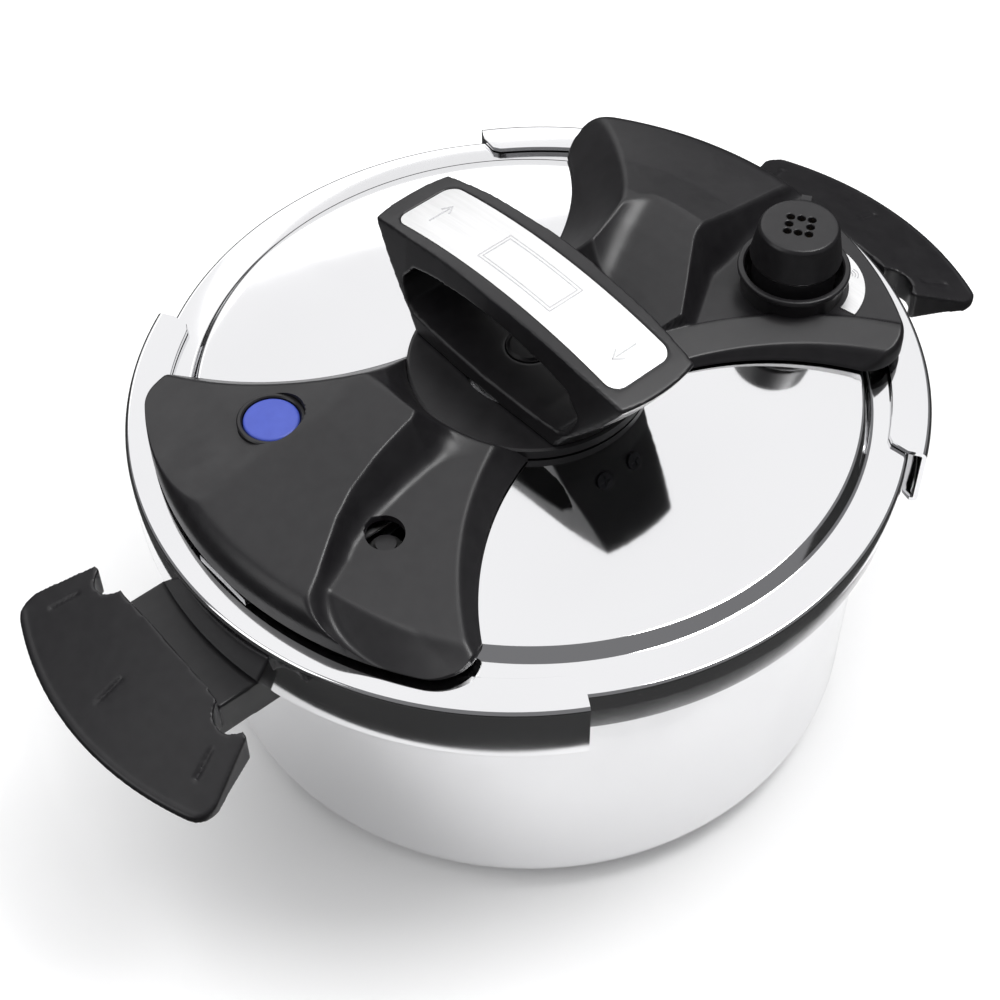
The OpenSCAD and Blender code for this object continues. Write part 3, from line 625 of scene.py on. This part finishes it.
def cover_mesh(name, height, mirror):
    """A thin shell: the outer surface, the hollow under it, and the rim that joins them."""
    columns = 200
    wall, roof = 2.2, 2.6
    outer = cover_grid(height, 0, 0, columns)
    hollow = cover_grid(height, wall, roof, columns)
    rows = len(outer)
    width = columns + 1
    inside = rows * width
    points = [p for row in outer for p in row] + [p for row in hollow for p in row]
    loop = list(range(width))
    loop += [i * width + columns for i in range(1, rows)]
    loop += [(rows - 1) * width + k for k in range(columns - 1, -1, -1)]
    loop += [i * width for i in range(rows - 2, 0, -1)]
    faces = []
    for base in (0, inside):
        for i in range(rows - 1):
            for k in range(columns):
                a = base + i * width + k
                faces.append((a, a + 1, a + width + 1, a + width))
    foot = len(points)
    for base in (0, inside):
        for v in loop:
            x, y, z = points[base + v]
            points.append((x, y, min(cover_foot(x, y), z)))
    count = len(loop)
    for n in range(count):
        m = (n + 1) % count
        faces.append((loop[n], loop[m], foot + m, foot + n))
        faces.append((inside + loop[n], inside + loop[m], foot + count + m, foot + count + n))
        faces.append((foot + n, foot + m, foot + count + m, foot + count + n))
    turn = -1 if mirror else 1
    return mesh_from(name, [(turn * x, y, z + RING_Z) for x, y, z in points], faces)


def bored(mesh, holes):
    """Cuts round upright holes, each (x, y, radius), through a mesh."""
    below, above = -10, 60
    body = placed("bored", mesh)
    cutters = []
    for x, y, r in holes:
        hole = lathe("hole", [(0, below), (r, below), (r, above), (0, above)], 96)
        cutter = placed("cutter", hole)
        cutter.location = (x * MM, y * MM, RING_Z * MM)
        cutters.append(cutter)
        cut = body.modifiers.new("cut", "BOOLEAN")
        cut.operation = "DIFFERENCE"
        cut.object = cutter
    result = after_modifiers(body)
    for cutter in cutters:
        bpy.data.objects.remove(cutter)
    return result


def ring_at(name, centre, profile):
    """A turned ring of black plastic on the lid, with its profile's heights above the lid ring."""
    mesh = lathe(name, profile, 128)
    for v in mesh.vertices:
        v.co.x += centre[0] * MM
        v.co.y += centre[1] * MM
        v.co.z += RING_Z * MM
    add_piece(name, mesh, "lid", "black_phenolic")


def covers():
    """Both covers, with the ring round the button and the boss round the valve."""
    slot, smooth_angle = "black_phenolic", 75
    left = cover_mesh("button_cover_shell", button_cover_height, True)
    left = bored(left, [(BUTTON[0], BUTTON[1], 11.2), (FLOAT[0], FLOAT[1], 6.5)])
    add_piece("button_cover_shell", left, "lid", slot, ["button_cover"], smooth_angle)
    low, top = 18.6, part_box("release_button")[1].z / MM - RING_Z - 0.6
    seat = [(9.7, low), (11.4, low), (11.4, top - 0.4), (11, top), (10.1, top), (9.7, top - 0.4)]
    ring_at("button_seat", BUTTON, seat)
    right = cover_mesh("valve_cover_shell", valve_cover_height, False)
    right = bored(right, [(VALVE[0], VALVE[1], 17.6)])
    add_piece("valve_cover_shell", right, "lid", slot, ["valve_cover"], smooth_angle)
    boss = [(17.2, 8), (18, 8), (18.2, 19), (18.9, 20.6), (19.7, 21.2)]
    boss += arc(18.9, 22, 0.8, 0, 90, 5) + [(17.8, 22.8), (17.2, 22.2)]
    ring_at("valve_boss", VALVE, boss)


# ---- Plastic ----

def plastic_pieces():
    """Mouldings: node, body, voxel in millimetres, smoothing passes."""
    mouldings = [
        ("bridge_handle", "handle", 0.6, 5),
        ("side_handle_left", "pot", 0.7, 4),
        ("side_handle_right", "pot", 0.7, 4),
        ("regulator_knob", "regulator_knob", 0.3, 4),
        ("release_button", "button", 0.3, 3),
    ]
    for node, body, voxel, soften in mouldings:
        slot = "blue_plastic" if node == "release_button" else "black_phenolic"
        mesh = moulded(node, voxel, soften)
        add_piece(node + "_moulding", mesh, body, slot, [node], 60)


def under_crown(x, y, depth):
    """A point at a depth below the handle's crown, which is curved along the handle."""
    return x, y, RING_Z + CROWN_H - CROWN_R + math.sqrt((CROWN_R - depth) ** 2 - y**2)


def crown_mark(name, outline_pairs):
    """A thin raised mark on the plate, from pairs of points either side of its stroke."""
    bottom, top = 0.55, 0.42
    points, faces = [], []
    for depth in (bottom, top):
        points += [under_crown(x, y, depth) for pair in outline_pairs for x, y in pair]
    count = len(outline_pairs)
    far_side = 2 * count
    for n in range(count - 1):
        a = 2 * n
        faces.append((a, a + 1, a + 3, a + 2))
        faces.append((far_side + a, far_side + a + 1, far_side + a + 3, far_side + a + 2))
        faces.append((a, a + 2, far_side + a + 2, far_side + a))
        faces.append((a + 1, a + 3, far_side + a + 3, far_side + a + 1))
    for a in (0, far_side - 2):
        faces.append((a, a + 1, far_side + a + 1, far_side + a))
    add_piece(name, mesh_from(name, points, faces), "handle", "satin_plate", finish=ink)


def stroke(path, width):
    """Pairs of points either side of a path, in short steps so that the mark follows the crown."""
    pairs = []
    for (x0, y0), (x1, y1) in zip(path, path[1:]):
        length = math.hypot(x1 - x0, y1 - y0)
        ux, uy = (x1 - x0) / length, (y1 - y0) / length
        to_side_x, to_side_y = -uy * width / 2, ux * width / 2
        steps = max(2, int(length / 2))
        for i in range(steps + 1):
            x, y = x0 + (x1 - x0) * i / steps, y0 + (y1 - y0) * i / steps
            pairs.append(((x + to_side_x, y + to_side_y), (x - to_side_x, y - to_side_y)))
    return pairs


def plate_marks():
    """Generic turning arrows at both ends of the plate and an empty frame in its middle."""
    for end in (-1, 1):
        shaft = [(-end * 6, end * 44), (end * 3, end * 44)]
        head = [(end * 1, end * 46.2), (end * 4.4, end * 44), (end * 1, end * 41.8)]
        crown_mark("arrow_shaft_%d" % (end + 1), stroke(shaft, 0.6))
        crown_mark("arrow_head_%d" % (end + 1), stroke(head, 0.6))
    for n, (w, h) in enumerate([(7.2, 17.5), (6, 16.3)]):
        corners = [(-w, -h), (w, -h), (w, h), (-w, h), (-w, -h)]
        for k in range(4):
            crown_mark("frame_%d_%d" % (n, k), stroke(corners[k:k + 2], 0.35))


def steam_marks():
    """A generic steam sign on the metal sector by the valve: three arcs that widen outwards."""
    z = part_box("steam_label")[1].z / MM
    place, from_valve = math.radians(-30), 21
    cx, cy = VALVE[0] + from_valve * math.cos(place), VALVE[1] + from_valve * math.sin(place)
    for n, r in enumerate((1.4, 2.4, 3.4)):
        outline = arc(cx, cy, r + 0.2, -75, 15, 10) + arc(cx, cy, r - 0.2, 15, -75, 10)
        points = [(x, y, z + h) for h in (-0.05, 0.06) for x, y in outline]
        count = len(outline)
        faces = [tuple(range(count)), tuple(range(count, 2 * count))]
        faces += [(k, (k + 1) % count, count + (k + 1) % count, count + k) for k in range(count)]
        name = "steam_mark_%d" % n
        add_piece(name, mesh_from(name, points, faces), "lid", "satin_plate", finish=ink)


# ---- Stage ----

def floor():
    half = 4000
    corners = [(-half, -half, 0), (half, -half, 0), (half, half, 0), (-half, half, 0)]
    mesh = mesh_from("floor", corners, [(0, 1, 2, 3)])
    f = Finish("floor", (0.9, 0.9, 0.9), 0, 0.6)
    f.rough(f.noise(20, 2), 0.5, 0.65)
    mesh.materials.append(f.material)
    placed("floor", mesh)


def area_light(name, place, target, size, power, mirrored=True):
    light = bpy.data.lights.new(name, "AREA")
    light.shape = "RECTANGLE"
    light.size, light.size_y = size
    light.energy = power
    lamp = placed(name, light)
    lamp.visible_glossy = mirrored
    lamp.location = place
    lamp.rotation_mode = "QUATERNION"
    lamp.rotation_quaternion = (Vector(target) - Vector(place)).to_track_quat("-Z", "Y")


def world():
    sky = bpy.data.worlds.new("studio")
    bpy.context.scene.world = sky
    sky.use_nodes = True
    background = sky.node_tree.nodes["Background"]
    background.inputs["Color"].default_value = (0.97, 0.97, 1, 1)
    background.inputs["Strength"].default_value = 0.22
    bpy.context.scene.view_settings.view_transform = "Standard"


def dark_card(name, profile):
    """A round black card that only shows as a dark band in the steel."""
    mesh = lathe(name, profile, 96)
    f = Finish(name, (0.02, 0.02, 0.02), 0, 0.9)
    f.tint(f.noise(3, 1), (0.015, 0.015, 0.015), (0.025, 0.025, 0.025))
    mesh.materials.append(f.material)
    band = placed(name, mesh)
    band.visible_camera = False
    band.visible_shadow = False
    band.visible_diffuse = False


def camera():
    data = bpy.data.cameras.new("camera")
    data.lens = 70
    data.sensor_width = 36
    seen = Vector((-0.0418, -0.0323, RING_Z * MM))
    place = Vector((-0.3093, -0.3435, 0.6257))
    roll = Quaternion((0, 0, 1), math.radians(-0.74))
    eye = placed("camera", data)
    eye.location = place
    eye.rotation_mode = "QUATERNION"
    eye.rotation_quaternion = (seen - place).to_track_quat("-Z", "Y") @ roll
    bpy.context.scene.camera = eye


def lights():
    centre = (0, 0, 0.12)
    area_light("softbox", (0.35, 0.55, 1.50), centre, (2.6, 2.1), 15)
    area_light("left_box", (-1.3, 0.35, 0.9), centre, (0.8, 0.8), 3.2)
    area_light("right_box", (0.45, -0.35, 1.35), centre, (0.5, 0.5), 8)
    area_light("back_box", (0.55, 1.35, 0.75), centre, (1.6, 0.7), 2.7)
    area_light("top", (0, -0.2, 3), (0, -0.2, 0), (5, 5), 110, False)


camera()
world()
floor()
lights()
dark_card("surround", [(1500, 1), (1510, 1), (1510, 450), (1500, 450)])
dark_card("floor_ring", [(196, 0.6), (1500, 0.6), (1500, 1.2), (196, 1.2)])

pot()
lid()
jaw(-1)
jaw(1)
covers()
plastic_pieces()
plate_marks()
steam_marks()
